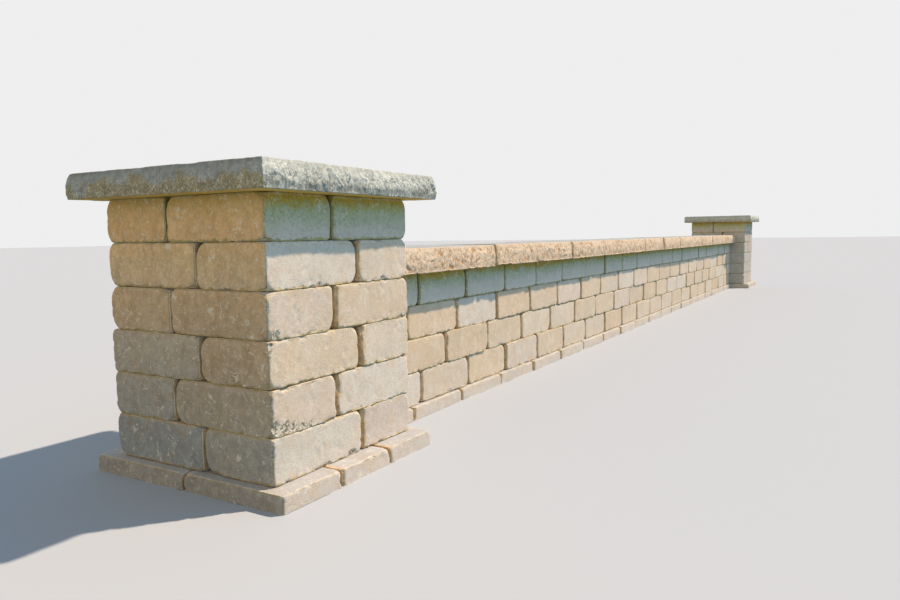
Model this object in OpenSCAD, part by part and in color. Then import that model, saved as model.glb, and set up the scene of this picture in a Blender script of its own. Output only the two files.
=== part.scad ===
// Low garden wall of tumbled concrete blocks, laid dry in level courses between two square
// pillars, with rock-faced coping stones on the wall and a rock-faced cap on each pillar.
// All lengths are in millimetres. X runs along the wall, Y across it and Z up from the ground,
// and the origin lies under the middle of the wall.

/* [Courses] */
// Height of one course of blocks
course_h = 102; // [85:1:125]
// Radius that tumbling leaves on the edges of a block
edge_r = 11; // [5:1:16]
// Width of the open head joint between two blocks of a course
head_joint = 4; // [2:0.5:8]
// Height of the base course that shows above the ground
base_h = 40; // [25:1:80]

/* [Pillars] */
// Side of a square pillar
pillar_w = 510; // [480:1:560]
// Length of a pillar block on its long face
pillar_block_l = 298; // [280:1:330]
// How far the base course stands out past the pillar along the wall
pillar_base_out_x = 25; // [10:1:60]
// How far the base course stands out past the pillar across the wall
pillar_base_out_y = 48; // [10:1:80]
// Thickness of the pillar cap
pillar_cap_t = 60; // [45:1:90]
// How far the top arris of the pillar cap overhangs the pillar
pillar_cap_over = 50; // [30:1:80]

/* [Wall] */
// Thickness of the wall
wall_t = 240; // [200:1:290]
// Length of a wall block with its head joint
wall_block_l = 298; // [260:1:340]
// Length of the first block of wall course 1, next to the near pillar
wall_first_1 = 271; // [110:1:290]
// Length of the first block of wall course 2
wall_first_2 = 123; // [110:1:290]
// Length of the first block of wall course 3
wall_first_3 = 200; // [110:1:290]
// Length of the first block of wall course 4
wall_first_4 = 266; // [110:1:290]
// Length of the first block of the wall's base course
wall_first_base = 204; // [110:1:290]
// How far the base course stands out past the wall
wall_base_out = 14; // [5:1:40]

/* [Coping] */
// Length of a long coping stone with its joint
coping_long = 755; // [600:5:860]
// Length of a middle coping stone with its joint
coping_mid = 690; // [520:5:760]
// Length of a short coping stone with its joint
coping_short = 450; // [340:5:520]
// Thickness of the coping
coping_t = 75; // [55:1:95]
// How far the top arris of the coping overhangs the wall
coping_over = 45; // [30:1:80]
// Width of the joint between two coping stones
coping_joint = 5; // [2:0.5:10]

/* [Rock faces] */
// Farthest that a rock face bulges past its top arris
rock_out = 12; // [4:1:20]
// Length of one chiselled facet along a rock face
rock_facet_l = 48; // [30:1:90]

/* [Hidden] */

// Courses of blocks in a pillar and in the wall
pillar_course_count = 6;
wall_course_count = 4;
// Blocks along and across the base course of a pillar
base_cols = 3;
base_rows = 2;
// A last block shorter than this share of a block is shared out with the block before it
short_share = 1 / 3;
// Smoothness of a worn edge
arc_fn = 32;

// Coping stones in the order they lie from the near pillar, and the length they make up
coping_l = [coping_mid, coping_long, coping_short, coping_long, coping_short,
            coping_short, coping_long, coping_short, coping_long, coping_short];
wall_run = total(coping_l, len(coping_l));
pillar_block_w = pillar_w - pillar_block_l - head_joint;
pillar_top = base_h + pillar_course_count * course_h;
wall_top = base_h + wall_course_count * course_h;
near_x = -(wall_run + pillar_w) / 2;
far_x = (wall_run + pillar_w) / 2;

// A rock face from its bottom arris to its top arris: [share of the height, share of the bulge]
rock_profile = [[0, 0.75], [0.28, 1], [0.62, 0.85], [0.88, 0.35], [1, 0]];
// Shares of the bulge: the least that a hollow keeps, the mean, and the height of the waves
rock_hollow_share = 0.35;
rock_mean_share = 0.8;
rock_wave_share = 0.6;
// Turns of the waves that break up a rock face, in degrees a facet and degrees a stone
rock_turn = 137;
stone_turn = 71;

function total(list, count, i = 0) = i >= count ? 0 : list[i] + total(list, count, i + 1);

// Lengths of the blocks that fill a run, which starts with a block of a given length
function block_lengths(run, first) =
    let (
        count = floor((run - first) / wall_block_l),
        rest = run - first - count * wall_block_l,
        shared = rest < short_share * wall_block_l,
        last = shared ? (wall_block_l + rest) / 2 : rest
    )
    concat(
        [first],
        [for (i = [1:1:shared ? count - 1 : count]) wall_block_l],
        shared ? [last, last] : [last]
    );

// Square outline with round corners
module rounded(w, h) {
    translate([edge_r, 0])
        square([w - 2 * edge_r, h]);
    translate([0, edge_r])
        square([w, h - 2 * edge_r]);
    for (x = [edge_r, w - edge_r], y = [edge_r, h - edge_r])
        translate([x, y])
            circle(r = edge_r, $fn = arc_fn);
}

// Tumbled block with its lowest corner at the origin and all of its edges worn round
module block(l, w) {
    intersection() {
        linear_extrude(course_h)
            rounded(l, w);
        translate([0, w, 0])
            rotate([90, 0, 0])
                linear_extrude(w)
                    rounded(l, course_h);
        rotate([90, 0, 90])
            linear_extrude(l)
                rounded(w, course_h);
    }
}

// The part of a base block that stands above the ground
module base_block(l, w) {
    difference() {
        translate([0, 0, base_h - course_h])
            block(l, w);
        translate([-edge_r, -edge_r, -course_h])
            cube([l + 2 * edge_r, w + 2 * edge_r, course_h]);
    }
}

// One course of a pillar: four blocks that turn round a square core, the other way round
// in every second course, so that no head joint stands over another
module pillar_course(number) {
    centre = pillar_w / 2;
    translate([0, 0, base_h + (number - 1) * course_h])
        mirror([number % 2 == 0 ? 1 : 0, number % 2 == 0 ? -1 : 0, 0])
            for (turn = [0:90:270])
                rotate(turn)
                    translate([-centre, -centre, 0])
                        block(pillar_block_l, pillar_block_w);
}

module pillar_base_course() {
    size_x = pillar_w + 2 * pillar_base_out_x;
    size_y = pillar_w + 2 * pillar_base_out_y;
    pitch_x = (size_x + head_joint) / base_cols;
    pitch_y = (size_y + head_joint) / base_rows;
    for (col = [0:base_cols - 1], row = [0:base_rows - 1])
        translate([col * pitch_x - size_x / 2, row * pitch_y - size_y / 2, 0])
            base_block(pitch_x - head_joint, pitch_y - head_joint);
}

// Row of blocks that fills a run along the wall and butts against what stands at its ends
module block_row(run, first, depth, base = false) {
    lengths = block_lengths(run, first);
    last = len(lengths) - 1;
    for (i = [0:last]) {
        before = i == 0 ? 0 : head_joint / 2;
        after = i == last ? 0 : head_joint / 2;
        translate([total(lengths, i) + before - run / 2, -depth / 2, 0])
            if (base)
                base_block(lengths[i] - before - after, depth);
            else
                block(lengths[i] - before - after, depth);
    }
}

module wall_course(number, first)
    translate([0, 0, base_h + (number - 1) * course_h])
        block_row(wall_run, first, wall_t);

module wall_base_course()
    block_row(wall_run - 2 * pillar_base_out_x, wall_first_base - pillar_base_out_x,
              wall_t + 2 * wall_base_out, base = true);

// How far one facet's end stands out: broad waves cut off at the full bulge
function rock_reach(i, seed) =
    rock_out * min(1, max(
        rock_hollow_share,
        rock_mean_share + rock_wave_share * sin(i * rock_turn + seed * stone_turn)
    ));

// Points along one rough side from a start point, in the side's direction, moved outwards
function rock_side(start, along, length, seed) =
    let (
        out = [along[1], -along[0]],
        count = round(length / rock_facet_l)
    )
    [for (i = [0:count]) start + along * length * i / count + out * rock_reach(i, seed)];

// Plan of a slab whose front and back are rough
module rough_plan(l, w, seed)
    polygon(concat(
        rock_side([0, 0], [1, 0], l, seed),
        rock_side([l, w], [-1, 0], l, seed + 1)
    ));

// Section across a slab, upright in its plane: each rough edge bulges below its top arris
module rock_section(w, t)
    polygon(concat(
        [for (p = rock_profile) [-p[1] * rock_out, p[0] * t]],
        [for (k = [len(rock_profile) - 1:-1:0]) [w + rock_profile[k][1] * rock_out, rock_profile[k][0] * t]]
    ));

// Slab with a flat top and bottom and a rock-faced front and back, long enough to be cut to length
module rock_bar(l, w, t, seed)
    intersection() {
        linear_extrude(t)
            rough_plan(l, w, seed);
        rotate([90, 0, 90])
            linear_extrude(l)
                rock_section(w, t);
    }

// Square slab with four rock faces: two bars that cross, each longer than the slab by its bulge
module rock_square(side, t, seed)
    intersection() {
        translate([-rock_out, 0, 0])
            rock_bar(side + 2 * rock_out, side, t, seed);
        translate([side, -rock_out, 0])
            rotate(90)
                rock_bar(side + 2 * rock_out, side, t, seed + 2);
    }

module pillar_cap(seed) {
    side = pillar_w + 2 * pillar_cap_over;
    translate([-side / 2, -side / 2, pillar_top])
        rock_square(side, pillar_cap_t, seed);
}

// Coping stone by its place from the near pillar: rock faces front and back, flat ends
module coping(number) {
    last = len(coping_l);
    before = number == 1 ? 0 : coping_joint / 2;
    after = number == last ? 0 : coping_joint / 2;
    width = wall_t + 2 * coping_over;
    start = total(coping_l, number - 1) - wall_run / 2;
    translate([start + before, -width / 2, wall_top])
        rock_bar(coping_l[number - 1] - before - after, width, coping_t, number);
}

// The near pillar, at the low end of X
module near_pillar_base_course() color("tan") translate([near_x, 0, 0]) pillar_base_course();
module near_pillar_course(number) color("wheat") translate([near_x, 0, 0]) pillar_course(number);
module near_pillar_cap() color("lightgray") translate([near_x, 0, 0]) pillar_cap(0);

// The wall between the pillars
module wall_base() color("tan") wall_base_course();
module wall_blocks(number, first) color("bisque") wall_course(number, first);
module wall_coping(number) color("burlywood") coping(number);

// The far pillar, at the high end of X
module far_pillar_base_course() color("tan") translate([far_x, 0, 0]) pillar_base_course();
module far_pillar_course(number) color("wheat") translate([far_x, 0, 0]) pillar_course(number);
module far_pillar_cap() color("lightgray") translate([far_x, 0, 0]) rotate(180) pillar_cap(0);

near_pillar_base_course();
near_pillar_course(1);  // near_pillar_course_1
near_pillar_course(2);  // near_pillar_course_2
near_pillar_course(3);  // near_pillar_course_3
near_pillar_course(4);  // near_pillar_course_4
near_pillar_course(5);  // near_pillar_course_5
near_pillar_course(6);  // near_pillar_course_6
near_pillar_cap();
wall_base();  // wall_base_course
wall_blocks(1, wall_first_1);  // wall_course_1
wall_blocks(2, wall_first_2);  // wall_course_2
wall_blocks(3, wall_first_3);  // wall_course_3
wall_blocks(4, wall_first_4);  // wall_course_4
wall_coping(1);  // wall_coping_1
wall_coping(2);  // wall_coping_2
wall_coping(3);  // wall_coping_3
wall_coping(4);  // wall_coping_4
wall_coping(5);  // wall_coping_5
wall_coping(6);  // wall_coping_6
wall_coping(7);  // wall_coping_7
wall_coping(8);  // wall_coping_8
wall_coping(9);  // wall_coping_9
wall_coping(10);  // wall_coping_10
far_pillar_base_course();
far_pillar_course(1);  // far_pillar_course_1
far_pillar_course(2);  // far_pillar_course_2
far_pillar_course(3);  // far_pillar_course_3
far_pillar_course(4);  // far_pillar_course_4
far_pillar_course(5);  // far_pillar_course_5
far_pillar_course(6);  // far_pillar_course_6
far_pillar_cap();
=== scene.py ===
"""Looks of a low garden wall: tumbled blocks laid dry between two pillars, under rock-faced stone."""
import math
from itertools import product
from types import SimpleNamespace
import bmesh
import bpy
import numpy as np
from mathutils import Matrix, Vector


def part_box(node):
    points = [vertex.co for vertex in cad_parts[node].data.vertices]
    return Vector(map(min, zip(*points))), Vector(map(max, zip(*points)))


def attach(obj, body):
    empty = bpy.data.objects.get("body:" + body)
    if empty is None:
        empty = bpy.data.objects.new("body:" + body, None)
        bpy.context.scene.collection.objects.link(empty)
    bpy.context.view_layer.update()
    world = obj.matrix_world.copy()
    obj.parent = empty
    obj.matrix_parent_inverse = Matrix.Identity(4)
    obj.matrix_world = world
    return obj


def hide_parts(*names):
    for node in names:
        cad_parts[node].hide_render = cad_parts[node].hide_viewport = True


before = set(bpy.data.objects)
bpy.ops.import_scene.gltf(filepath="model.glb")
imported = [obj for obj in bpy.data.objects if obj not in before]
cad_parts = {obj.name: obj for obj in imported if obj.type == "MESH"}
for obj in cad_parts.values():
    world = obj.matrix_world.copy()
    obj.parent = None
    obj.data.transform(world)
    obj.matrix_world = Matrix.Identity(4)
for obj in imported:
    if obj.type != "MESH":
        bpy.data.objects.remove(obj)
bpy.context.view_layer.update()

MM = 0.001

# Camera of the photograph: place in metres, directions in degrees, lens for a 36 mm sensor
CAMERA_PLACE = Vector((-4.540, -1.298, 0.558))
CAMERA_YAW = 30.37
CAMERA_PITCH = -5.19
CAMERA_ROLL = -0.78
CAMERA_LENS = 28.5

# Courses of a pillar and of the wall, counted up from the base course, and coping stones from the near end
PILLAR_COURSES = range(1, 7)
WALL_COURSES = range(1, 5)
COPING_STONES = range(1, 11)

# Colours of the blocks in plain light: the sunny faces first, then those of the far pillar and of the top
# course of the wall, which lie in the shade. The far pillar's are duller and darker, and the top course's are
# painted lighter against its shade.
PALE = (0.665, 0.605, 0.525)
CREAM = (0.66, 0.575, 0.465)
SAND = (0.65, 0.555, 0.445)
BUFF = (0.645, 0.535, 0.41)
PEACH = (0.65, 0.52, 0.38)
PINK = (0.655, 0.565, 0.475)
GREY = (0.61, 0.58, 0.53)
SLATE = (0.51, 0.51, 0.50)
DULL_PALE = (0.615, 0.57, 0.495)
DULL_PINK = (0.605, 0.53, 0.46)
DULL_SAND = (0.62, 0.53, 0.43)
PALETTE = [PALE, CREAM, SAND, BUFF, BUFF, BUFF, PEACH, PINK]
BASE_COLOUR = (0.645, 0.57, 0.50)
FAR_PALETTE = [(0.47, 0.455, 0.42), (0.51, 0.475, 0.42), (0.44, 0.44, 0.425), (0.48, 0.44, 0.39)]
SHADED_PALETTE = [(0.82, 0.72, 0.62), (0.80, 0.70, 0.59), (0.74, 0.66, 0.54), (0.82, 0.73, 0.64)]

# Blocks of the near pillar from the lowest course up: near corner, front right, back right, back left
NEAR_COLOURS = {
    1: (DULL_PALE, DULL_PINK, BUFF, SLATE),
    2: (DULL_SAND, PALE, PEACH, GREY),
    3: (BUFF, CREAM, CREAM, GREY),
    4: (DULL_SAND, BUFF, SAND, SAND),
    5: (PALE, CREAM, BUFF, PALE),
    6: (SAND, SAND, PEACH, BUFF),
}


# Noise. A salt picks one of many patterns.


def hashed(cells, salt):
    """A number from 0 to 1 for each whole-number cell, the same in every run. The large numbers mix bits."""
    n = cells.astype(np.int64)
    h = n[:, 0] * 374761393 + n[:, 1] * 668265263 + n[:, 2] * 1442695041 + salt * 144665
    h = (h ^ (h >> 13)) * 1274126177
    h = h ^ (h >> 16)
    return (h & 0xFFFFFF) / float(0xFFFFFF)


# Noise cells are turned out of line with the wall, so that they leave no rows
TURN = np.array(Matrix.Rotation(0.7, 3, "X") @ Matrix.Rotation(0.5, 3, "Y") @ Matrix.Rotation(0.9, 3, "Z"))


def noise(points, lump, salt):
    """Smooth noise from -1 to 1 with lumps about that many metres across."""
    p = points @ TURN / lump
    cell = np.floor(p)
    f = p - cell
    f = f * f * (3 - 2 * f)
    total = np.zeros(len(p))
    for corner in product((0, 1), repeat=3):
        share = np.where(corner, f, 1 - f)
        total += share[:, 0] * share[:, 1] * share[:, 2] * hashed(cell + corner, salt)
    return total * 2 - 1


def layered(points, lump, salt, layers=3):
    """Noise from about -1 to 1 made of finer and finer layers."""
    total = np.zeros(len(points))
    height = 1.0
    for layer in range(layers):
        total += height * noise(points, lump, salt + 17 * layer)
        lump *= 0.5
        height *= 0.5
    return total / 1.5


def facets(points, lump, salt, slope=0.9):
    """Height from about -1 to 1 of a split face: each cell of it is a flat facet with its own slope."""
    p = points @ TURN / lump
    base = np.floor(p)
    nearest = np.full(len(p), np.inf)
    height = np.zeros(len(p))
    for neighbour in product((-1, 0, 1), repeat=3):
        cell = base + neighbour
        spot = cell + np.stack([hashed(cell, salt + i) for i in range(3)], axis=1)
        away = p - spot
        distance = (away ** 2).sum(axis=1)
        tilt = np.stack([hashed(cell, salt + 3 + i) for i in range(3)], axis=1) * 2 - 1
        plane = hashed(cell, salt + 6) * 2 - 1 + slope * (away * tilt).sum(axis=1) * 2
        closer = distance < nearest
        nearest[closer] = distance[closer]
        height[closer] = plane[closer]
    return height


def ramp(low, high, x):
    """0 up to low and 1 from high on, with a smooth rise between them. It falls where low is the greater."""
    t = np.clip((x - low) / (high - low), 0, 1)
    return t * t * (3 - 2 * t)


# Meshes


# Distances of the grid lines from an edge, on blocks near the camera and on the rest
RIM = np.array([0, 1.2, 2.8, 5, 8, 11.5, 15.5, 20]) * MM
FAR_RIM = np.array([0, 2, 5, 9.5, 16]) * MM


def lines(length, step, rim):
    """Distances along a side: close together near its ends, and about one step apart between."""
    rim = rim[rim < 0.45 * length]
    middle = np.linspace(rim[-1], length - rim[-1], max(1, round((length - 2 * rim[-1]) / step)) + 1)
    return np.concatenate([rim[:-1], middle, length - rim[-2::-1]])


def ring_shell(low, high, steps, rim, deep):
    """Skin of a box as rings of points: over the underside to its edge, up the sides and in over the top.
    steps is how far apart the points are on the -X, +X, -Y and +Y sides and up them, and deep is how far
    in the first and last ring lie. Gives the points, the quads and the triangles that close both middles."""
    wide, long, tall = high - low
    plan = np.concatenate([
        [(x / wide, 0) for x in lines(wide, steps[2], rim)[:-1]],
        [(1, y / long) for y in lines(long, steps[1], rim)[:-1]],
        [(1 - x / wide, 1) for x in lines(wide, steps[3], rim)[:-1]],
        [(0, 1 - y / long) for y in lines(long, steps[0], rim)[:-1]],
    ])
    climb = lines(tall, steps[4], rim)
    ledge = rim[1::2]
    insets = np.concatenate([[deep], ledge[::-1], climb * 0, ledge, [deep]])
    heights = np.concatenate([[0], ledge * 0, climb, ledge * 0 + tall, [tall]])
    rings = [np.column_stack([low[0] + inset + plan[:, 0] * (wide - 2 * inset),
                              low[1] + inset + plan[:, 1] * (long - 2 * inset),
                              np.full(len(plan), low[2] + height)])
             for inset, height in zip(insets, heights)]
    centre = (low + high) / 2
    points = np.concatenate(rings + [[(centre[0], centre[1], low[2]), (centre[0], centre[1], high[2])]])

    count, here = len(plan), np.arange(len(plan))
    after = np.roll(here, -1)
    starts = count * np.arange(len(rings) - 1)[:, None]
    quads = np.stack([starts + here, starts + after, starts + count + after, starts + count + here], axis=-1)
    last = count * (len(rings) - 1)
    under = np.stack([np.full(count, len(points) - 2), after, here], axis=-1)
    over = np.stack([np.full(count, len(points) - 1), last + here, last + after], axis=-1)
    return points, quads.reshape(-1, 4), np.concatenate([under, over])


def in_scene(name, data):
    """New object in the scene."""
    made = bpy.data.objects.new(name, data)
    bpy.context.scene.collection.objects.link(made)
    return made


class Pile:
    """Shells with their masks, to be joined into one piece."""

    def __init__(self):
        self.points, self.faces, self.masks, self.count = [], [], {}, 0

    def add(self, points, faces, **masks):
        self.points.append(points)
        self.faces += [group + self.count for group in faces]
        self.count += len(points)
        for name, value in masks.items():
            value = np.asarray(value, dtype=float)
            if value.shape != points.shape[:1]:
                value = np.broadcast_to(value, (len(points),) + value.shape)
            self.masks.setdefault(name, []).append(value)

    def piece(self, name, node, material):
        """One object that stands for a node of the frame."""
        points = np.concatenate(self.points)
        corners = np.concatenate([group.ravel() for group in self.faces])
        sizes = np.concatenate([np.full(len(group), group.shape[1]) for group in self.faces])
        mesh = bpy.data.meshes.new(name)
        mesh.vertices.add(len(points))
        mesh.vertices.foreach_set("co", points.ravel())
        mesh.loops.add(len(corners))
        mesh.loops.foreach_set("vertex_index", corners)
        mesh.polygons.add(len(sizes))
        mesh.polygons.foreach_set("loop_start", np.cumsum(sizes) - sizes)
        mesh.polygons.foreach_set("use_smooth", np.ones(len(sizes), dtype=bool))
        mesh.update(calc_edges=True)
        for mask, values in self.masks.items():
            values = np.concatenate(values)
            kind, field = ("FLOAT", "value") if values.ndim == 1 else ("FLOAT_COLOR", "color")
            mesh.attributes.new(mask, kind, "POINT").data.foreach_set(field, values.ravel())
        mesh.materials.append(material)
        made = in_scene(name, mesh)
        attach(made, "root")
        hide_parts(node)
        return made


def solids(node):
    """Lowest and highest corner of each separate solid of a node, from low X to high X."""
    shape = bmesh.new()
    shape.from_mesh(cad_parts[node].data)
    bmesh.ops.remove_doubles(shape, verts=shape.verts, dist=0.01 * MM)
    left, boxes = set(shape.verts), []
    while left:
        front, group = [left.pop()], []
        while front:
            vertex = front.pop()
            group.append(vertex.co.copy())
            for edge in vertex.link_edges:
                other = edge.other_vert(vertex)
                if other in left:
                    left.remove(other)
                    front.append(other)
        spots = np.array(group)
        boxes.append((spots.min(axis=0), spots.max(axis=0)))
    shape.free()
    return sorted(boxes, key=lambda b: (b[0][0], b[0][1]))


# Tumbled blocks

# Grid step of a side that shows, as a share of its distance from the camera, and step of a hidden side
BLOCK_STEP = 0.0024
ROCK_STEP = 0.0015
HIDDEN_STEP = 30 * MM
# Blocks nearer to the camera than this many metres get the finer rim
CLOSE_UP = 3.4
# How far in the last ring of points lies on the top and the underside
BLOCK_MIDDLE = 45 * MM
# How far a base block goes on under the ground
BURIED = 60 * MM
# How far the sides in joints stand out into the gap that the solids leave
JOINT_CLOSED = 0.7 * MM
# How far the -X ends in joints are worn back, by course of the near pillar, and the least and most elsewhere
NEAR_END_WORN = {1: 6.0 * MM, 2: 4.0 * MM, 3: 7.0 * MM, 4: 4.0 * MM, 5: 0.6 * MM, 6: 0.5 * MM}
END_WORN = (0.5 * MM, 3.5 * MM)
# From where on a -X end counts as well worn, and from where on flakes are chewed off its edges
WELL_WORN = 4 * MM
CHEWED_FROM = 1.2 * MM
# Radius in millimetres, least and most, of upright edges and of level ones
UPRIGHT_MM = (3.0, 5.5)
LEVEL_MM = (2.5, 4.5)
# Radius of a corner in millimetres: the least, and what chance adds at most
CORNER_MM = (8, 12)
# How much rounder an upright in a joint is than an outer one: at a well worn -X end this is added, elsewhere
# it is times that much
END_ROUNDER = 1.6
JOINT_ROUNDER = 1.5
ROUNDEST_UPRIGHT = 13 * MM


def camera_distance(low, high):
    return float(np.linalg.norm((low + high) / 2 - np.array(CAMERA_PLACE)))


def steps_for(low, high, shown, share, finest, coarsest):
    """Grid steps for ring_shell: finer near the camera, on the sides that it sees, and coarse where hidden.
    share is the step as a share of the distance."""
    fine = min(max(share * camera_distance(low, high), finest), coarsest)
    facing = (1.0, 2.2, 1.0, 2.2)
    return [fine * facing[k] if shown[k] else HIDDEN_STEP for k in range(4)] + [fine * 1.4]


def on_sides(points, low, high):
    """Which points lie on the -X, +X, -Y and +Y side of a box, one column each."""
    near = 0.001 * MM
    return np.column_stack([points[:, 0] < low[0] + near, points[:, 0] > high[0] - near,
                            points[:, 1] < low[1] + near, points[:, 1] > high[1] - near])


def worn_radius(points, low, high, shown, wear, end_worn, rng, salt):
    """How round the edges are worn at each point: level edges the least, uprights in joints more, corners
    most. The ends that face -X in a joint are rounder the more they are worn back."""
    near = np.minimum(points - low, high - points)
    upper = (points > (low + high) / 2).astype(int)
    ranked = np.sort(near, axis=1)
    upright = rng.uniform(*UPRIGHT_MM, (2, 2)) * MM
    upright[0] *= 1.0 if shown[0] else 1.0 + END_ROUNDER * wear * min(1.0, end_worn / WELL_WORN)
    upright[1] *= 1.0 if shown[1] else JOINT_ROUNDER * wear
    upright[:, 0] *= 1.0 if shown[2] else JOINT_ROUNDER * wear
    upright[:, 1] *= 1.0 if shown[3] else JOINT_ROUNDER * wear
    upright = np.minimum(upright, ROUNDEST_UPRIGHT)
    level = rng.uniform(*LEVEL_MM) * MM
    on_upright = near[:, 2] > ranked[:, 1] + 0.01 * MM
    edge = np.where(on_upright, upright[upper[:, 0], upper[:, 1]], level)
    at_end = 0.0 if shown[0] else ramp(20 * MM, 5 * MM, points[:, 0] - low[0])
    uneven = 1 + 0.35 * noise(points, 35 * MM, salt)
    uneven += 0.5 * at_end * layered(points, 24 * MM, salt + 5, 2)
    edge = edge * uneven
    chance = rng.random((2, 2, 2)) ** 1.3
    corner = wear * (CORNER_MM[0] + CORNER_MM[1] * chance)[upper[:, 0], upper[:, 1], upper[:, 2]] * MM
    share = 1 - ramp(0.35 * corner, 1.9 * corner, ranked[:, 2])
    return edge + np.maximum(corner - edge, 0) * share


def bites(points, low, shown, edge, ragged):
    """How deep the edges are bitten at each point: deeper low down and at a -X end in a joint."""
    below = ramp(45 * MM, 15 * MM, points[:, 2] - low[2])
    at_end = 0.0 if shown[0] else ramp(14 * MM, 4 * MM, points[:, 0] - low[0])
    deepest = (3.0 + 3.2 * np.maximum(below, at_end)) * MM
    return deepest * np.exp(-edge / (5 * MM)) * ramp(0.05, 0.75, ragged)


def waves(points, normal, salt):
    """How far the sides lie back at each point, in long and short waves and in pits."""
    wave = 0.8 * MM * (1 + noise(points, 90 * MM, salt + 2))
    wave += 0.3 * MM * (1 + noise(points, 28 * MM, salt + 3))
    pits = 1.1 * MM * ramp(0.45, 0.8, noise(points, 15 * MM, salt + 4))
    return (wave + pits) * (1 - normal[:, 2] ** 2)


def move_joint_sides(worn, points, low, sides, shown, end_worn, ragged):
    """Moves the sides in joints a little into the gap, and wears the -X end back."""
    for side in range(4):
        if not shown[side]:
            worn[:, side // 2] += sides[:, side] * (1 if side % 2 else -1) * JOINT_CLOSED
    if not shown[0]:
        near_end = ramp(12 * MM, 0, points[:, 0] - low[0])
        worn[:, 0] += near_end * (JOINT_CLOSED + end_worn * (0.8 + 0.4 * np.clip(ragged, -1, 1)))


def break_off(points, bared, flakes, salt, share, fade):
    """Points with flakes broken off, and how far the stone inside is bared: share at most, where fade or
    more is cut off."""
    for number, (spot, outward, reach, depth) in enumerate(flakes):
        away = points - spot
        spread = 1 - (away ** 2).sum(axis=1) / reach ** 2
        cut = away @ outward + depth * spread + 0.35 * depth * noise(points, 8 * MM, salt + number)
        cut = np.where(spread > -0.6, np.clip(cut, 0, 2 * depth), 0)
        points = points - cut[:, None] * outward
        bared = np.maximum(bared, share * ramp(0, fade, cut))
    return points, bared


def edge_spots(low, high, rng, count):
    """Random spots on the edges of a box, with the direction that points out there."""
    for _ in range(count):
        axis = rng.integers(0, 3)
        spot = rng.uniform(low, high)
        outward = np.zeros(3)
        for other in range(3):
            if other != axis:
                top = rng.random() < (0.3 if other == 2 else 0.5)
                spot[other] = (high if top else low)[other]
                outward[other] = 1 if top else -1
        yield spot, outward / math.sqrt(2)


def random_flakes(low, whole_low, high, rng, on_corner):
    """Flakes off the edges of a block: ten small ones, at times a big one, and where on_corner is set six
    along the upright that stands out at -X and -Y."""
    flakes = [(spot, outward, rng.uniform(6, 12) * MM, rng.uniform(1.5, 3.0) * MM)
              for spot, outward in edge_spots(whole_low, high, rng, 10)]
    flakes += [(spot, outward, rng.uniform(14, 26) * MM, rng.uniform(3, 6) * MM)
               for spot, outward in edge_spots(whole_low, high, rng, rng.integers(0, 2))]
    if on_corner:
        away = np.array([-0.71, -0.71, 0])
        flakes += [(np.array([low[0], low[1], z]), away, rng.uniform(7, 14) * MM, rng.uniform(1.0, 2.6) * MM)
                   for z in rng.uniform(low[2], high[2], 6)]
    return [(spot - outward * 3 * MM, outward, reach, depth) for spot, outward, reach, depth in flakes]


def end_flakes(low, high, side, end_worn, rng):
    """Four flakes off the upright of a worn -X end, on the -Y side (2) or the +Y side (3)."""
    outward = np.array([-0.6, -0.8 if side == 2 else 0.8, 0])
    flakes = []
    for _ in range(4):
        spot = np.array([low[0] + end_worn, (low if side == 2 else high)[1], rng.uniform(low[2], high[2])])
        spot -= outward * rng.uniform(3.5, 6.0) * MM
        reach = rng.uniform(7, 14) * MM
        flakes.append((spot, outward, reach, rng.uniform(0.3, 0.8) * min(end_worn, 5 * MM)))
    return flakes


def tumbled(low, high, shown, steps, wear, rng, chips=(), buried=False, end_worn=None):
    """Points, faces and masks of a tumbled block. A buried block goes on under the ground, so that its
    lower edges stay sharp. wear is how round its corners are, and chips are (spot, outward, reach, depth)
    of flakes to break off."""
    salt = int(rng.integers(1, 1000000))
    rim = RIM if camera_distance(low, high) < CLOSE_UP else FAR_RIM
    points, quads, triangles = ring_shell(low, high, steps, rim, BLOCK_MIDDLE)
    whole_low = low - (0, 0, BURIED) if buried else low
    end_worn = rng.uniform(*END_WORN) if end_worn is None else end_worn
    radius = worn_radius(points, whole_low, high, shown, wear, end_worn, rng, salt)[:, None]
    inner = np.clip(points, whole_low + radius, high - radius)
    away = points - inner
    normal = away / np.maximum(np.linalg.norm(away, axis=1), 0.001 * MM)[:, None]
    worn = inner + normal * radius

    edge = np.sort(np.minimum(points - whole_low, high - points), axis=1)[:, 1]
    ragged = layered(points, 12 * MM, salt + 1)
    worn -= normal * (bites(points, whole_low, shown, edge, ragged) + waves(points, normal, salt))[:, None]
    sides = on_sides(points, low, high)
    move_joint_sides(worn, points, low, sides, shown, end_worn, ragged)

    chewed, broken = np.zeros(len(points)), np.zeros(len(points))
    if not shown[0] and end_worn > CHEWED_FROM:
        for side in (2, 3):
            flakes = end_flakes(low, high, side, end_worn, rng) if shown[side] else []
            worn, chewed = break_off(worn, chewed, flakes, salt + 80, 1.0, MM)
    flakes = random_flakes(low, whole_low, high, rng, shown[0] and shown[2] and not buried)
    worn, broken = break_off(worn, broken, flakes, salt + 10, 0.6, 1.2 * MM)
    worn, broken = break_off(worn, broken, chips, salt + 50, 1.0, MM)
    if buried:
        worn[:, 2] = np.maximum(worn[:, 2], low[2])

    joint = (sides & ~np.array(shown)).any(axis=1) * ramp(MM, 6 * MM, edge)
    joint = np.maximum(joint, 0.7 * chewed)
    if not buried:
        joint = np.maximum(joint, 0.8 * ramp(0.90, 0.99, np.abs(normal[:, 2])))
    from_end = 1.0 if shown[0] else points[:, 0] - low[0] - 3.5 * MM - 1.7 * end_worn
    return worn, [quads, triangles], dict(
        edge=edge, foot=points[:, 2] - whole_low[2], end=from_end, joint=joint, west=sides[:, 0] & shown[0],
        # ledge marks upward faces, which the block material darkens and cools as painted shade
        ledge=ramp(0.35, 0.85, normal[:, 2]) * (1.0 if buried else 0.7), broken=broken,
        seed=rng.uniform(0, 1))


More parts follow.
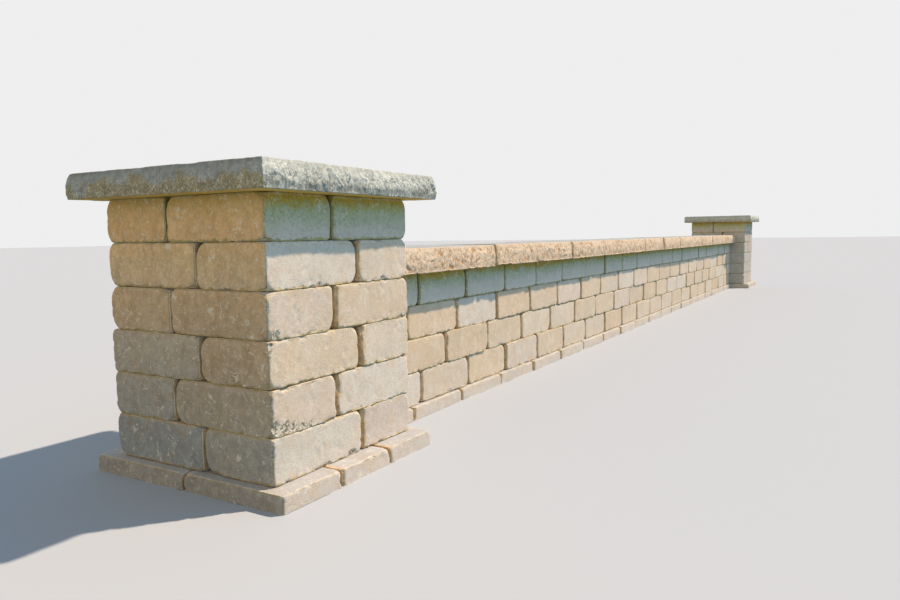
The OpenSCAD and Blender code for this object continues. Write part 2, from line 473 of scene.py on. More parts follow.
def jostled(points, low, high, rng, along, across, turn):
    """Points of a block pushed a little out of line, as it was laid by hand: millimetres and degrees."""
    centre = (low + high) / 2
    angle = math.radians(rng.normal(0, turn))
    cosine, sine = math.cos(angle), math.sin(angle)
    spin = np.array([[cosine, -sine, 0], [sine, cosine, 0], [0, 0, 1]])
    push = np.array([rng.uniform(-along, along), rng.uniform(-across, across), 0]) * MM
    moved = (points - centre) @ spin.T
    moved[:, 2] += moved[:, :2] @ rng.normal(0, 0.003, 2)
    moved += centre + push
    moved[:, 2] = np.maximum(moved[:, 2], 0)
    return moved


def block_course(node, colours, salt, slack, wear, sizes, damp=None, chips=(), buried=False, west_shade_and_grime=1.0,
                 end_worn=None):
    """A course of blocks as one piece, a block for each solid of its node. colours chooses a block's colour
    from its middle. slack is how far the blocks may lie out of line, wear how round their corners are,
    sizes the finest and the coarsest grid step, and west_shade_and_grime how much they take of the -X side's
    painted light and shade and of its own soiling."""
    pile = Pile()
    course_low, course_high = (np.array(c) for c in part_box(node))
    for number, (low, high) in enumerate(solids(node)):
        rng = np.random.default_rng([salt, number])
        shown = [abs(own[axis] - whole[axis]) < 30 * MM for axis in (0, 1)
                 for own, whole in ((low, course_low), (high, course_high))]
        own_chips = [c for c in chips if np.all(c[0] > low - 5 * MM) and np.all(c[0] < high + 5 * MM)]
        steps = steps_for(low, high, shown, BLOCK_STEP, *sizes)
        points, faces, masks = tumbled(low, high, shown, steps, wear, rng, own_chips, buried, end_worn)
        colour = np.array(colours((low + high) / 2, rng)) * rng.uniform(0.96, 1.03)
        wet = np.zeros(len(points)) if damp is None else damp(points)
        # The -X side's painted light and shade and its own soiling, by this share
        masks["west"] = masks["west"] * west_shade_and_grime
        pile.add(jostled(points, low, high, rng, *slack), faces, tint=(*colour, 1), damp=wet, **masks)
    return pile.piece(f"{node}_blocks", node, BLOCK)


# Rock faces

# How far a split face stands out past the plain box of its stone
ROCK_OUT = 12 * MM
# How a stone is split. profile: shares of the bulge, from the bottom arris to the top arris, at PROFILE_AT.
# lump: size of the biggest lumps. knobs: how far small facets and grit stand out, in millimetres.
# chipped: how much is chipped off the top arris and off the bottom arris.
PROFILE_AT = (0, 0.28, 0.62, 0.88, 1)
CAP_SPLIT = SimpleNamespace(
    profile=(0.66, 1, 0.85, 0.42, 0), lump=70 * MM, knobs=(0.55, 0.60), chipped=(1.5 * MM, MM))
COPING_SPLIT = SimpleNamespace(
    profile=(0.90, 1, 0.90, 0.52, 0), lump=48 * MM, knobs=(0.50, 0.55), chipped=(4 * MM, 5 * MM))
# The strokes of the chisel: how they slant, and how many times as long as wide they are
STROKE_COS = math.cos(math.radians(38))
STROKE_SIN = math.sin(math.radians(38))
STROKE_STRETCH = 2.8


def slanted(level, axis):
    """Points of a side laid out so that noise on them makes strokes that slant down the side."""
    along, up = level[:, 1 - axis], level[:, 2]
    with_strokes = along * STROKE_COS - up * STROKE_SIN
    across = along * STROKE_SIN + up * STROKE_COS
    return np.column_stack([with_strokes / STROKE_STRETCH, across, np.zeros(len(level))]) @ TURN.T


def split_face(level, axis, split, roughness, swell, body, salt):
    """How far a split face stands out at each point, and how deep in a hollow it lies there, 0 to 1."""
    big = noise(level * (1, 1, 0.6), split.lump, salt)
    plane = facets(level, 0.55 * split.lump, salt + 1)
    small = facets(level, 11 * MM, salt + 9)
    grit = layered(level, 8 * MM, salt + 5)
    strokes = 3 * np.abs(noise(slanted(level, axis), 7 * MM, salt + 13)) - 1
    out = ROCK_OUT * swell * (0.72 + roughness * (0.15 * big + 0.11 * plane))
    fine = split.knobs[0] * (0.5 * small + strokes) + split.knobs[1] * grit - 0.9
    out += roughness * (0.25 + 0.75 * body) * fine * MM
    relief = 0.15 * big + 0.25 * plane + 0.3 * small + 0.5 * strokes + 0.4 * grit
    return out, (0.5 - 0.5 * np.clip(relief, -1, 1)) * body * roughness


def chip_arrises(moved, low, high, level, inward, chipped, salt):
    """Chips the top arris and the bottom arris of a split side."""
    rim_share = ramp(14 * MM, 0, inward) ** 2
    along = level * (1, 1, 0)
    spall = chipped[0] * ramp(-0.1, 0.8, layered(along, 42 * MM, salt + 15)) * rim_share
    raised = chipped[1] * ramp(-0.1, 0.8, layered(along, 34 * MM, salt + 16)) * rim_share
    moved[:, 2] = np.clip(moved[:, 2], low[2] + raised, high[2] - spall)


def rock_slab(low, high, inset, rough, split, sizes, rng):
    """Points, faces and masks of a slab whose rough sides are split faces. low and high are the box that
    the split faces reach, and inset how far its top arris lies inside that. rough is how rough the -X, +X,
    -Y and +Y sides are, 0 for a plain end in a joint."""
    salt = int(rng.integers(1, 1000000))
    plain_low, plain_high = low + inset, high - inset
    steps = steps_for(low, high, [r > 0 for r in rough], ROCK_STEP, *sizes)
    steps[4] = steps[2]
    points, quads, triangles = ring_shell(plain_low, plain_high, steps, FAR_RIM[:4], 60 * MM)
    height = (points[:, 2] - low[2]) / (high[2] - low[2])
    swell = np.interp(height, PROFILE_AT, split.profile)
    body = ramp(0, 0.08, height) * ramp(0, 0.10, 1 - height)
    to_end = np.minimum(points[:, 0] - plain_low[0], plain_high[0] - points[:, 0])
    is_split, hollow = np.zeros(len(points)), np.zeros(len(points))
    moved = points.copy()
    for number, (axis, sign) in enumerate([(0, -1), (0, 1), (1, -1), (1, 1)]):
        if not rough[number]:
            continue
        face = (plain_high if sign > 0 else plain_low)[axis]
        inward = np.abs(points[:, axis] - face)
        level = points.copy()
        level[:, axis] = face
        pattern = salt + 20 * number
        out, depth = split_face(level, axis, split, rough[number], swell, body, pattern)
        if not rough[0]:
            out -= 6.5 * MM * np.exp(-to_end / (6 * MM)) * (0.35 + 0.65 * swell)
        out = np.minimum(out, ROCK_OUT - 0.2 * MM)
        moved[:, axis] += sign * out * ramp(22 * MM, 0, inward)
        on_face = inward < 0.01 * MM
        is_split[on_face] = 1.0
        hollow[on_face] = depth[on_face]
        chip_arrises(moved, low, high, level, inward, split.chipped, pattern)
    joint = np.exp(-to_end / (10 * MM)) if not rough[0] else 0.0
    west = on_sides(points, plain_low, plain_high)[:, 0]
    return moved, [quads, triangles], dict(
        split=is_split, hollow=hollow, joint=joint, height=height, west=west, seed=rng.uniform(0, 1))


# Materials. Noise scales are lumps per metre, widths are lengths times MM, and the other numbers shares from
# 0 to 1. masks holds the masks of the mesh and the noises that the layers of a material share.


class Output:
    """Output of a node. Adding, subtracting and multiplying outputs makes the nodes for it."""

    def __init__(self, tree, node, name):
        self.tree, self.node, self.name = tree, node, name

    def math(self, operation, other):
        return add(self.tree, "Math", {0: self, 1: other}, operation=operation)

    def __add__(self, other):
        return self.math("ADD", other)

    def __sub__(self, other):
        return self.math("SUBTRACT", other)

    def __mul__(self, other):
        return self.math("MULTIPLY", other)

    def remap(self, start, end, low=0.0, high=1.0):
        """Value moved from one range to another, and kept inside it."""
        return add(self.tree, "MapRange", {0: self, 1: start, 2: end, 3: low, 4: high})


def add(tree, kind, values=None, output=0, **settings):
    """Output of a new shader node with its inputs set to numbers or joined to other outputs."""
    node = tree.nodes.new("ShaderNode" + kind)
    for name, value in settings.items():
        setattr(node, name, value)
    for name, value in (values or {}).items():
        if isinstance(value, Output):
            tree.links.new(value.node.outputs[value.name], node.inputs[name])
        else:
            node.inputs[name].default_value = value
    return Output(tree, node, output)


def start_material(name):
    material = bpy.data.materials.new(name)
    material.use_nodes = True
    material.node_tree.nodes.clear()
    return material, material.node_tree


def mesh_masks(tree, names):
    """The masks of the mesh as outputs, each under its name."""
    return SimpleNamespace(**{name: add(tree, "Attribute", output="Fac", attribute_name=name)
                              for name in names})


def greater(first, second):
    return first.math("MAXIMUM", second)


def mix(share, first, second, blend="MIX"):
    """Colour mix by a share from 0 to 1. One of the three at least is an output."""
    tree = next(value.tree for value in (share, first, second) if isinstance(value, Output))
    ends = [value if isinstance(value, Output) else (*value, 1.0) for value in (first, second)]
    return add(tree, "Mix", {0: share, 6: ends[0], 7: ends[1]}, 2, data_type="RGBA", blend_type=blend)


def shade(value, colour):
    """Colour darkened or lightened by a grey value."""
    grey = add(value.tree, "CombineColor", {0: value, 1: value, 2: value})
    return mix(1.0, colour, grey, "MULTIPLY")


def own_coords(tree, seed):
    """Coordinates that jump from stone to stone, so that no pattern runs on across a joint."""
    jump = add(tree, "CombineXYZ", {0: seed * 37.0, 1: seed * -23.0, 2: seed * 11.0})
    place = add(tree, "TexCoord", output="Object")
    return add(tree, "VectorMath", {0: place, 1: jump}, operation="ADD")


def cloudy(coords, scale, detail=3.0, rough=0.6, distortion=0.0):
    """Noise from 0 to 1."""
    return add(coords.tree, "TexNoise", {
        "Vector": coords, "Scale": scale, "Detail": detail, "Roughness": rough, "Distortion": distortion,
    })


def dots(coords, scale, reach, soften):
    """1 at the middle of small round dots, 0 between them."""
    far = add(coords.tree, "TexVoronoi", {"Vector": coords, "Scale": scale}, "Distance")
    return far.remap(reach, reach - soften)


def scratches(coords, scale, width):
    """1 on thin curved strokes, where a smooth noise crosses its middle value."""
    away = (cloudy(coords, scale, 1.0, 0.4, 1.2) - 0.5).math("ABSOLUTE", 0.0)
    return away.remap(width, 0.3 * width) * cloudy(coords, 1.3 * scale, 3.0, 0.7).remap(0.55, 0.62)


def mottled(coords, colour, bands):
    """Colour clouded at several sizes. bands are (scale, darkest, lightest)."""
    for scale, darkest, lightest in bands:
        colour = shade(cloudy(coords, scale).remap(0.32, 0.68, darkest, lightest), colour)
    return colour


def finish_material(tree, colour, bump_height, bump_depth, roughness):
    bump = add(tree, "Bump", {"Height": bump_height, "Distance": bump_depth})
    skin = add(tree, "BsdfPrincipled", {
        "Base Color": colour, "Roughness": roughness, "Normal": bump, "Specular IOR Level": 0.2,
    })
    add(tree, "OutputMaterial", {"Surface": skin})


# Colours that lie over a block's own. WEST_HIGH and WEST_LOW tint the -X side at the top and at the foot:
# painted light, warm at the top, and painted cool shade at the foot.
WARM_CLOUD = (0.65, 0.46, 0.28)
BLEACHED = (0.76, 0.71, 0.635)
SCUFF = (0.80, 0.76, 0.67)
PIT = (0.40, 0.24, 0.11)
SOIL = (0.52, 0.38, 0.13)
DARK_SOIL = (0.37, 0.26, 0.09)
JOINT_DIRT = (0.58, 0.43, 0.27)
# END_DIRT_AND_SHADE covers a worn -X end in a joint: soiling and painted warm shade
END_DIRT_AND_SHADE = (0.68, 0.475, 0.28)
# LEDGE_SHADE darkens and cools upward faces: painted shade against the sun
LEDGE_SHADE = (0.59, 0.69, 0.82)
WEST_HIGH = (1.15, 0.86, 0.49)
WEST_LOW = (0.54, 0.59, 0.65)
AGGREGATE_DARK = (0.20, 0.17, 0.11)
AGGREGATE_PALE = (0.74, 0.68, 0.56)
# DAMP_AND_SHADE greys a course under an overhang: partly wet stone, partly painted shade
DAMP_AND_SHADE = (0.65, 0.59, 0.50)
ALGAE = (0.37, 0.48, 0.22)
MOSS = (0.54, 0.36, 0.03)
DARK_MOSS = (0.22, 0.23, 0.08)


# Clouds in a block's colour: scale, octaves and roughness of the noise, where in it they start and end, their
# share at most, and their colour
CLOUDS = [
    (17.0, 6.0, 0.75, 0.48, 0.66, 0.42, WARM_CLOUD),
    (120.0, 4.0, 0.7, 0.50, 0.66, 0.30, WARM_CLOUD),
    (19.0, 5.0, 0.7, 0.52, 0.70, 0.35, BLEACHED),
]


def by_side(masks, elsewhere, west):
    """One value on the -X side and another elsewhere."""
    return masks.west.remap(0.0, 1.0, elsewhere, west)


def clouded(coords, masks, colour):
    """Mottled and clouded concrete with grain and dark pits."""
    colour = mottled(coords, colour, [(7.0, 0.96, 1.05), (24.0, 0.97, 1.04), (95.0, 0.95, 1.06)])
    for scale, detail, rough, start, end, share, cloud in CLOUDS:
        colour = mix(cloudy(coords, scale, detail, rough).remap(start, end, 0.0, share), colour, cloud)
    colour = shade(masks.grain.remap(0.3, 0.7, 0.90, 1.10), colour)
    freckles = masks.pit * masks.edge.remap(18 * MM, 5 * MM) * by_side(masks, 0.5, 0.1)
    return mix(greater(masks.pitted * 0.30, freckles), colour, PIT)


def toned(coords, masks, colour):
    """Painted shade on the ledges, darker and bluer against the sun, and painted light on the -X side, from
    cool shade at its foot to warm light at its top.
    """
    # Upward faces darkened and cooled: painted shade against the sun
    colour = mix(masks.ledge, colour, mix(1.0, colour, LEDGE_SHADE, "MULTIPLY"))
    place = add(coords.tree, "TexCoord", output="Object")
    climb = add(coords.tree, "SeparateXYZ", {0: place}, 2)
    high_up = climb.remap(0.05, 0.64).math("POWER", 1.7)
    blotches = cloudy(coords, 40.0, 5.0, 0.75).remap(0.36, 0.64, 0.84, 1.14)
    # Painted light on the -X side: cool shade at the foot, warm light at the top
    tint = shade(blotches, mix(high_up, WEST_LOW, WEST_HIGH))
    return mix(masks.west, colour, mix(1.0, colour, tint, "MULTIPLY"))


def overgrown(coords, masks, colour):
    """Damp, algae and moss under an overhang, with dark specks. The grey wet tint is partly painted shade of
    the overhang.
    """
    damp, patches = masks.damp, masks.patches
    stain_and_painted_light = cloudy(coords, 12.0, 4.0, 0.65).remap(0.35, 0.65, 0.50, 1.0)
    # Grey wet tint under the overhang, partly painted shade
    colour = mix(damp.remap(0.0, 0.35) * stain_and_painted_light * by_side(masks, 0.95, 0.15), colour, DAMP_AND_SHADE)
    lush = masks.seed.remap(0.6, 0.9, -0.01, 0.05)
    spread = (patches + cloudy(coords, 17.0, 4.0) - 1.0) * 0.32
    growth = damp.remap(0.0, 0.1) * (damp + lush + spread)
    colour = mix(growth.remap(0.50, 0.875, 0.0, 0.8) * by_side(masks, 1.0, 0.15), colour, ALGAE)
    rim = (masks.edge + patches * (16 * MM)).remap(15 * MM, 8 * MM)
    colour = mix(rim * damp.remap(0.0, 0.3) * by_side(masks, 0.7, 0.1), colour, ALGAE)
    colour = mix(growth.remap(0.77, 0.96) * by_side(masks, 0.95, 0.35), colour, MOSS)
    specks = cloudy(coords, 150.0, 4.0, 0.75).remap(0.54, 0.38)
    return shade(specks * damp.remap(0.2, 0.7) * by_side(masks, -0.27, -0.12) + 1.04, colour)


def scuffed(coords, masks, colour):
    """Pale scuffs, thin scratches and worn rims."""
    scuff = cloudy(coords, 70.0, 5.0, 0.7, 0.8).remap(0.55, 0.66, 0.0, 0.45)
    colour = mix(scuff * masks.gate.remap(0.45, 0.60), colour, SCUFF)
    strokes = greater(scratches(coords, 22.0, 0.030), scratches(coords, 46.0, 0.040))
    colour = mix(strokes * (by_side(masks, 0.40, 0.60) + masks.damp * 0.25), colour, SCUFF)
    rim = masks.edge.remap(9 * MM, 2 * MM) * masks.patches.remap(0.38, 0.55)
    return mix(rim * by_side(masks, 0.35, 0.12), colour, SCUFF)


def soiled(coords, masks, colour):
    """Soil along the edges and in crevices."""
    ragged = masks.edge + (masks.patches - 0.5) * (32 * MM)
    rim = ragged.remap(6.0 * MM, 2.5 * MM) * masks.foot.remap(18 * MM, 6 * MM, 0.30, 1.0)
    crevice = masks.edge.remap(3.5 * MM, MM) * by_side(masks, 0.25, 0.9)
    mossy = greater(cloudy(coords, 85.0).remap(0.50, 0.60), masks.damp)
    soil = mix(mossy * 0.65, mix(masks.west, SOIL, DARK_SOIL), DARK_MOSS)
    return mix(greater(rim, crevice) * 0.75, colour, soil)


def dirty_in_joints(coords, masks, colour):
    """Dirt on the sides in joints, and round a worn end soiling and painted warm shade, with a ragged border
    and strewn dots.
    """
    wet = masks.damp.remap(0.0, 0.3, 0.0, 0.85)
    joint_dirt = mix(masks.patches.remap(0.36, 0.54), DARK_SOIL, JOINT_DIRT)
    colour = mix(masks.joint * 0.85, colour, mix(wet, joint_dirt, DARK_MOSS))
    from_end = masks.end + (cloudy(coords, 70.0, 5.0, 0.9) - 0.5) * (95 * MM)
    share = from_end.remap(2.0 * MM, -MM, 0.0, 0.85)
    strewn = dots(coords, 210.0, 0.42, 0.14) * from_end.remap(18 * MM, 2 * MM, 0.0, 0.8)
    # The worn end's rounding turns from the sun: soiling with painted warm shade over it
    end_dirt_and_shade = mix(wet, END_DIRT_AND_SHADE, DARK_MOSS)
    end_dirt_and_shade = mix(masks.patches.remap(0.54, 0.40, 0.0, 0.6), end_dirt_and_shade, DARK_SOIL)
    return mix(greater(share, strewn), colour, end_dirt_and_shade)


def block_material(name):
    """Tumbled concrete, with the stones of its mix bared where flakes are broken off."""
    material, tree = start_material(name)
    masks = mesh_masks(tree, ("edge", "foot", "end", "joint", "west", "broken", "damp", "ledge", "seed"))
    coords = own_coords(tree, masks.seed)
    masks.patches = cloudy(coords, 60.0, 4.0, 0.7)
    masks.gate = cloudy(coords, 26.0)
    masks.grain = cloudy(coords, 330.0, 2.0, 0.7)
    masks.pit = dots(coords, 150.0, 0.30, 0.16)
    masks.pitted = masks.pit * masks.gate.remap(0.50, 0.38)
    colour = add(tree, "Attribute", output="Color", attribute_name="tint")
    for layer in (clouded, toned, overgrown, scuffed, soiled, dirty_in_joints):
        colour = layer(coords, masks, colour)

    stones = add(tree, "TexVoronoi", {"Vector": coords, "Scale": 230.0}, "Color")
    stone_value = add(tree, "SeparateColor", {0: stones})
    aggregate = mix(stone_value.remap(0.25, 0.60), AGGREGATE_DARK, AGGREGATE_PALE)
    colour = mix(masks.broken * 0.85, colour, aggregate)
    height = (masks.grain * 0.35 + masks.patches * 0.32 + masks.pitted * -0.2
              + stone_value * masks.broken * 0.9 + masks.joint * masks.patches * 0.8)
    finish_material(tree, colour, height, 1.8 * MM, 0.9)
    return material


# Colours of the two kinds of split stone. pale is for where the relief rises, partly a painted highlight;
# dark is for the pits, partly painted shade in the hollows; top, painted darker and cooler as shade against
# the sun, is for the plain top; stain_and_painted_light for the underside, discoloured, with painted warm
# bounce light under the cap and painted shade under the coping; seam for the ends in joints, and moss and
# west_face for the -X side, west_face painted darker and cooler for the shade there.
CAP_COLOURS = SimpleNamespace(
    face=(0.51, 0.54, 0.49), pale=(0.75, 0.765, 0.70), dark=(0.20, 0.215, 0.18), top=(0.36, 0.38, 0.385),
    stain_and_painted_light=(0.78, 0.54, 0.15), seam=(0.30, 0.30, 0.26), moss=(0.33, 0.28, 0.17), west_face=(0.31, 0.34, 0.36),
)
COPING_COLOURS = SimpleNamespace(
    face=(0.67, 0.51, 0.35), pale=(0.81, 0.69, 0.55), dark=(0.46, 0.25, 0.10), top=(0.335, 0.37, 0.40),
    stain_and_painted_light=(0.34, 0.23, 0.08), seam=(0.44, 0.29, 0.13), moss=(0.54, 0.405, 0.255),
    west_face=(0.60, 0.50, 0.38),
)

def slanted_coords(coords):
    """Coordinates whose noise makes slanting strokes, as slanted does on the mesh."""
    rows = ((STROKE_COS / STROKE_STRETCH, STROKE_COS / STROKE_STRETCH, -STROKE_SIN / STROKE_STRETCH),
            (STROKE_SIN, STROKE_SIN, STROKE_COS), (0.7, -0.7, 0.0))
    parts = [add(coords.tree, "VectorMath", {0: coords, 1: row}, "Value", operation="DOT_PRODUCT")
             for row in rows]
    return add(coords.tree, "CombineXYZ", dict(enumerate(parts)))


def split_colour(coords, masks, colours, darker_foot):
    """Colour of a split face: pale knobs, partly a painted highlight, dark pits, partly painted shade in the
    hollows, and dark streaks at the foot.
    """
    # Paler where the relief rises: partly a painted highlight
    colour = mix(masks.rises.remap(0.43, 0.59), colours.face, colours.pale)
    # Darker in the pits, more so in the mesh's hollows: painted shade, partly flecks in the stone
    pits = (masks.rises + masks.hollow * -0.28).remap(0.365, 0.29)
    gate = cloudy(coords, 34.0).remap(0.38, 0.60, 0.3, 1.0)
    fewer_above = (masks.height * darker_foot).remap(0.30, 0.60, 1.0, 0.45)
    colour = mix(pits * gate * fewer_above * 0.95, colour, colours.dark)
    upright = add(coords.tree, "VectorMath", {0: coords, 1: (1.0, 1.0, 0.25)}, operation="MULTIPLY")
    streak = cloudy(upright, 130.0, 4.0, 0.7).remap(0.60, 0.42, 0.15, 1.0)
    foot = (masks.height + (masks.cloud - 0.5) * 0.9).remap(0.46, 0.26)
    return mix(foot * streak * darker_foot, colour, colours.dark)


def west_colour(coords, masks, colours):
    """Colour of the split face on the -X side: mossy low down and west_face above, painted darker and cooler
    for the shade there, with pale knobs.
    """
    high_up = (masks.cloud + masks.height * 0.45).remap(0.65, 0.76)
    knobs = masks.rises.remap(0.50, 0.58) * masks.height.remap(0.75, 0.25, 0.18, 0.80)
    colour = mix(knobs, mix(high_up, colours.moss, colours.west_face), colours.pale)
    return shade(cloudy(coords, 45.0, 5.0, 0.7).remap(0.35, 0.65, 0.76, 1.22), colour)


def rock_material(name, colours, darker_foot, relief_depth):
    """Split stone with a plain top and underside. darker_foot is how much darker it is low down."""
    material, tree = start_material(name)
    masks = mesh_masks(tree, ("split", "hollow", "joint", "height", "west", "seed"))
    coords = own_coords(tree, masks.seed)
    masks.cloud = cloudy(coords, 16.0, 5.0, 0.65)
    strokes = cloudy(slanted_coords(coords), 250.0, 5.0, 0.75)
    masks.rises = strokes * 0.6 + cloudy(coords, 190.0, 5.0, 0.8) * 0.4
    grain = cloudy(coords, 420.0, 2.0, 0.7)
    split, height = masks.split, masks.height

    body = split_colour(coords, masks, colours, darker_foot)
    body = mix(masks.west * 0.92, body, west_colour(coords, masks, colours))
    # Plain top and underside. The top's colour is painted shade, darker and cooler than the stone against the
    # sun
    plain = shade(masks.cloud.remap(0.35, 0.65, 0.86, 1.16), colours.top)
    # The underside's colour is partly painted light: warm bounce light under the cap, shade under the coping
    plain = mix(height.remap(0.05, 0.0), plain, colours.stain_and_painted_light)
    colour = mix(split.remap(0.0, 0.6), plain, body)
    colour = mottled(coords, colour, [(9.0, 0.93, 1.06), (60.0, 0.90, 1.08)])
    colour = shade(grain.remap(0.3, 0.7, 0.80, 1.18), colour)
    colour = mix(cloudy(coords, 20.0, 5.0, 0.7).remap(0.57, 0.72, 0.0, 0.35), colour, colours.moss)
    colour = mix(masks.joint * split.remap(0.0, 1.0, 0.2, 0.8), colour, colours.seam)
    # Painted shade: the top arris of a split face is darkened where the sun would make it glare
    colour = shade((split * height).remap(0.80, 1.0, 1.0, 0.80), colour)

    relief = masks.rises * (split * 0.8 + 0.2) + grain * 0.25
    finish_material(tree, colour, relief, relief_depth, 0.92)
    return material


BLOCK = block_material("tumbled concrete")
CAP_ROCK = rock_material("grey rock face", CAP_COLOURS, darker_foot=0.75, relief_depth=3.2 * MM)
COPING_ROCK = rock_material("buff rock face", COPING_COLOURS, darker_foot=0.15, relief_depth=2.2 * MM)


# The parts of the wall

# Flakes broken off the near pillar that show in the photograph: X in metres, how far the spot lies in from
# the front in millimetres, Z in metres, direction out, reach and depth in millimetres
FRONT_Y = -0.255
OUT_FRONT = np.array([0, -1, 0])
OUT_LOW_FRONT = np.array([0, -0.94, -0.34])
OUT_CORNER = np.array([-0.7, -0.7, 0])
NEAR_CHIPS = [(np.array([x, FRONT_Y + inward * MM, z]), out, reach * MM, depth * MM)
              for x, inward, z, out, reach, depth in (
    (-3.486, 1, 0.160, OUT_FRONT, 28, 5.0),
    (-3.455, 0, 0.158, OUT_FRONT, 26, 3.5),
    (-3.425, 0, 0.154, OUT_FRONT, 22, 3.0),
    (-3.398, 0, 0.151, OUT_FRONT, 19, 3.5),
    (-3.374, 0, 0.148, OUT_FRONT, 14, 3.5),
    (-3.480, -2, 0.334, OUT_CORNER, 13, 7.0),
    (-3.468, 0, 0.362, OUT_LOW_FRONT, 14, 4.0),
    (-3.180, 0, 0.312, OUT_FRONT, 10, 4.0),
    (-3.181, 0, 0.288, OUT_FRONT, 9, 3.0),
    (-3.327, 0, 0.455, OUT_LOW_FRONT, 11, 4.0),
    (-3.090, 0, 0.456, OUT_LOW_FRONT, 13, 5.0),
    (-3.010, 0, 0.351, OUT_LOW_FRONT, 11, 4.0),
    (-3.228, 0, 0.046, OUT_LOW_FRONT, 22, 5.0),
    (-3.320, 0, 0.044, OUT_LOW_FRONT, 20, 4.0),
    (-3.283, 0, 0.226, OUT_FRONT, 9, 3.5),
)]

# How far a block may lie out of line along X and Y in millimetres, and how far it turns in degrees
PILLAR_SLACK = (0.9, 1.5, 0.12)
WALL_SLACK = (0.8, 2.6, 0.35)
COPING_SLACK = (0.0, 4.0, 0.1)
# Salts that the wall's courses and the coping stones count on from
WALL_SALT = 40
COPING_SALT = 80


# Choosers: they give the colour of a block from its middle and its random numbers


def near_colours(course):
    """Chooser for a course of the near pillar, by the quarter that a block stands in."""
    middle = np.mean(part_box("near_pillar_cap"), axis=0)

    def choose(centre, rng):
        front, west = centre[1] < middle[1], centre[0] < middle[0]
        return NEAR_COLOURS[course][(0 if west else 1) if front else (3 if west else 2)]
    return choose


def drawn_from(palette):
    """Chooser that draws from a palette."""
    return lambda centre, rng: palette[rng.integers(len(palette))]


def always(colour):
    """Chooser that gives each block one colour."""
    return lambda centre, rng: colour


def under_overhang(node, reach):
    """Mask of a course under an overhang, for wet growth and for painted shade: 1 at its top, and 0 from
    reach on below that.
    """
    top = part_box(node)[1][2]
    return lambda points: np.clip(1 - (top - points[:, 2]) / reach, 0, 1)


def pillar(end, salt, sizes, west_shade_and_grime, chips=()):
    """Courses of a pillar from its base up. sizes are the finest and the coarsest grid step."""
    for course in PILLAR_COURSES:
        node = f"{end}_pillar_course_{course}"
        damp = under_overhang(node, 170 * MM) if course == PILLAR_COURSES[-1] else None
        colours = near_colours(course) if end == "near" else drawn_from(FAR_PALETTE)
        end_worn = NEAR_END_WORN[course] if end == "near" else None
        block_course(node, colours, salt + course, PILLAR_SLACK, 1.0, sizes, damp, chips,
                     west_shade_and_grime=west_shade_and_grime, end_worn=end_worn)
    block_course(f"{end}_pillar_base_course", always(BASE_COLOUR), salt, PILLAR_SLACK, 0.7,
                 (1.6 * sizes[0], 2 * sizes[1]), buried=True, west_shade_and_grime=west_shade_and_grime)


def wall():
    """Courses of the wall. The top one lies in the shade, wet and less worn, and its colours are painted
    lighter against the shade.
    """
    sizes = (4.8 * MM, 13 * MM)
    for course in WALL_COURSES[:-1]:
        block_course(f"wall_course_{course}", drawn_from(PALETTE), WALL_SALT + course,
                     WALL_SLACK, 0.95, sizes)
    course = WALL_COURSES[-1]
    node = f"wall_course_{course}"
    damp = under_overhang(node, 120 * MM)
    # The top course's colours are painted lighter against the shade it lies in
    block_course(node, drawn_from(SHADED_PALETTE), WALL_SALT + course, WALL_SLACK, 0.7,
                 sizes, damp, end_worn=0.3 * MM)
    block_course("wall_base_course", always(BASE_COLOUR), WALL_SALT, WALL_SLACK, 0.6,
                 (10 * MM, 20 * MM), buried=True)


def rock_piece(node, material, inset, rough, split, sizes, west_shade_and_grime, salt, slack=None):
    """One split stone as a piece, in the box of its node."""
    low, high = (np.array(c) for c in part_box(node))
    rng = np.random.default_rng(salt)
    points, faces, masks = rock_slab(low, high, np.array(inset), rough, split, sizes, rng)
    # The -X side's colour, painted darker and cooler for its shade, by this share
    masks["west"] = masks["west"] * west_shade_and_grime
    if slack:
        points = jostled(points, low, high, rng, *slack)
    pile = Pile()
    pile.add(points, faces, **masks)
    pile.piece(f"{node}_stone", node, material)


def pillar_cap(end, salt, step, west_shade_and_grime):
    """Cap of a pillar, split on all sides, on a grid of about that step."""
    rock_piece(f"{end}_pillar_cap", CAP_ROCK, (ROCK_OUT, ROCK_OUT, 0), (0.4, 1.0, 1.0, 1.0),
               CAP_SPLIT, (step, step), west_shade_and_grime, salt)


def coping():
    """Coping stones, split in front and behind."""
    for number in COPING_STONES:
        rock_piece(f"wall_coping_{number}", COPING_ROCK, (0, ROCK_OUT, 0), (0, 0, 1.0, 1.0),
                   COPING_SPLIT, (3.0 * MM, 10 * MM), 1.0, COPING_SALT + number, COPING_SLACK)


pillar("near", salt=10, sizes=(3.6 * MM, 4.5 * MM), west_shade_and_grime=1.0, chips=NEAR_CHIPS)
pillar_cap("near", salt=30, step=2.3 * MM, west_shade_and_grime=1.0)
pillar("far", salt=20, sizes=(7 * MM, 8 * MM), west_shade_and_grime=0.0)
pillar_cap("far", salt=31, step=6 * MM, west_shade_and_grime=0.5)
wall()
coping()


# Floor, light and camera

FLOOR_SIZE = 120.0
# The floor as it is seen, and as it throws light back
FLOOR_SEEN = (0.41, 0.455, 0.52)
FLOOR_BOUNCE = (0.17, 0.23, 0.26)
# The fill light: its two colours, and how strong it is from overhead
FILL_COOL = (0.44, 0.76, 1.12)
FILL_WARM = (1.12, 0.90, 0.59)
FILL_OVERHEAD = 0.45
# Where the warm part of the fill comes from, seen from above
WARM_FROM = (-0.8, 0.6, 0.0)
BACKDROP = (0.86, 0.86, 0.86, 1.0)
# The sun: its strength and colour, where it stands, and how wide it is in degrees
KEY_STRENGTH = 5.25
KEY_COLOUR = (1.0, 0.78, 0.575)
KEY_FROM = Vector((0.44, -0.36, 0.82))
KEY_SOFTNESS = 1.3


def seen_directly(tree):
    """1 for the camera, mirrors and glass, 0 for light that only bounces."""
    camera, mirror, glass = (add(tree, "LightPath", output=name) for name in (
        "Is Camera Ray", "Is Glossy Ray", "Is Transmission Ray"))
    return greater(greater(camera, mirror), glass)


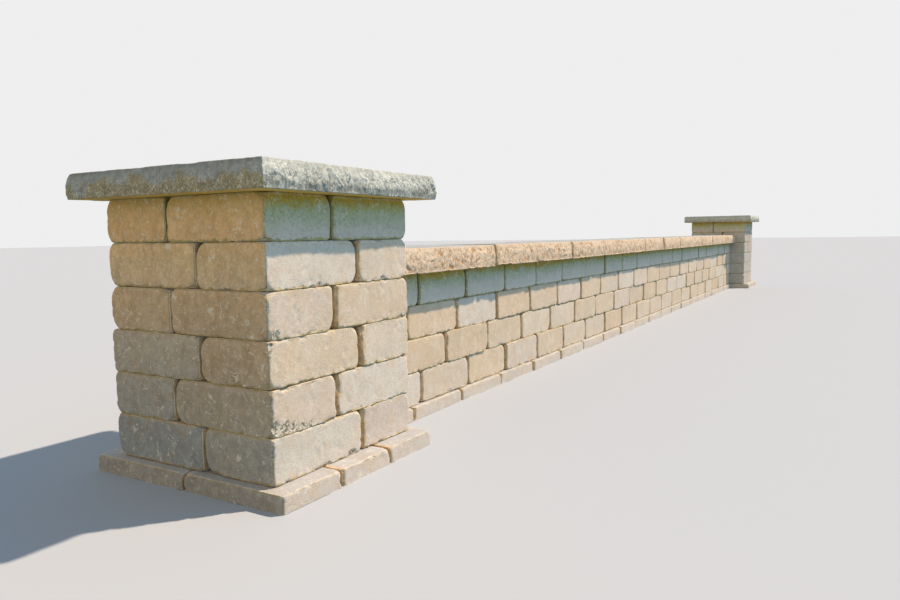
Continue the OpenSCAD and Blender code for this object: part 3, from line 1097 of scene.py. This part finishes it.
def floor():
    bpy.ops.mesh.primitive_plane_add(size=FLOOR_SIZE, location=(0, 0, 0))
    ground = bpy.context.object
    ground.name = "floor"
    material, tree = start_material("pale floor")
    colour = mix(seen_directly(tree), FLOOR_BOUNCE, FLOOR_SEEN)
    skin = add(tree, "BsdfDiffuse", {"Color": colour})
    add(tree, "OutputMaterial", {"Surface": skin})
    ground.data.materials.append(material)


def light():
    """A soft key from the front right, and a fill that is cool from the front, warm from the back left and
    weaker from overhead."""
    world = bpy.data.worlds.new("studio")
    bpy.context.scene.world = world
    world.use_nodes = True
    tree = world.node_tree
    tree.nodes.clear()
    direction = add(tree, "TexCoord", output="Generated")
    climb = add(tree, "SeparateXYZ", {0: direction}, 2)
    warmth = add(tree, "VectorMath", {0: direction, 1: WARM_FROM}, "Value", operation="DOT_PRODUCT")
    tone = mix(warmth.remap(0.0, 0.6), FILL_COOL, FILL_WARM)
    tone = shade(climb.remap(0.1, 0.9, 1.0, FILL_OVERHEAD), tone)
    fill = add(tree, "Background", {"Color": tone})
    backdrop = add(tree, "Background", {"Color": BACKDROP})
    chosen = add(tree, "MixShader", {0: seen_directly(tree), 1: fill, 2: backdrop})
    add(tree, "OutputWorld", {"Surface": chosen})
    lamp = bpy.data.lights.new("key", "SUN")
    lamp.energy = KEY_STRENGTH
    lamp.color = KEY_COLOUR
    lamp.angle = math.radians(KEY_SOFTNESS)
    key = in_scene("key", lamp)
    key.rotation_mode = "QUATERNION"
    key.rotation_quaternion = KEY_FROM.to_track_quat("Z", "Y")


def camera():
    yaw, pitch, roll = (math.radians(v) for v in (CAMERA_YAW, CAMERA_PITCH, CAMERA_ROLL))
    ahead = Vector((math.cos(pitch) * math.cos(yaw), math.cos(pitch) * math.sin(yaw), math.sin(pitch)))
    right = Vector((math.sin(yaw), -math.cos(yaw), 0))
    up = right.cross(ahead)
    right, up = math.cos(roll) * right + math.sin(roll) * up, math.cos(roll) * up - math.sin(roll) * right
    data = bpy.data.cameras.new("camera")
    data.lens = CAMERA_LENS
    data.clip_end = 200.0
    made = in_scene("camera", data)
    made.matrix_world = Matrix.Translation(CAMERA_PLACE) @ Matrix((right, up, -ahead)).transposed().to_4x4()
    bpy.context.scene.camera = made


floor()
light()
camera()
bpy.context.scene.view_settings.view_transform = "Standard"
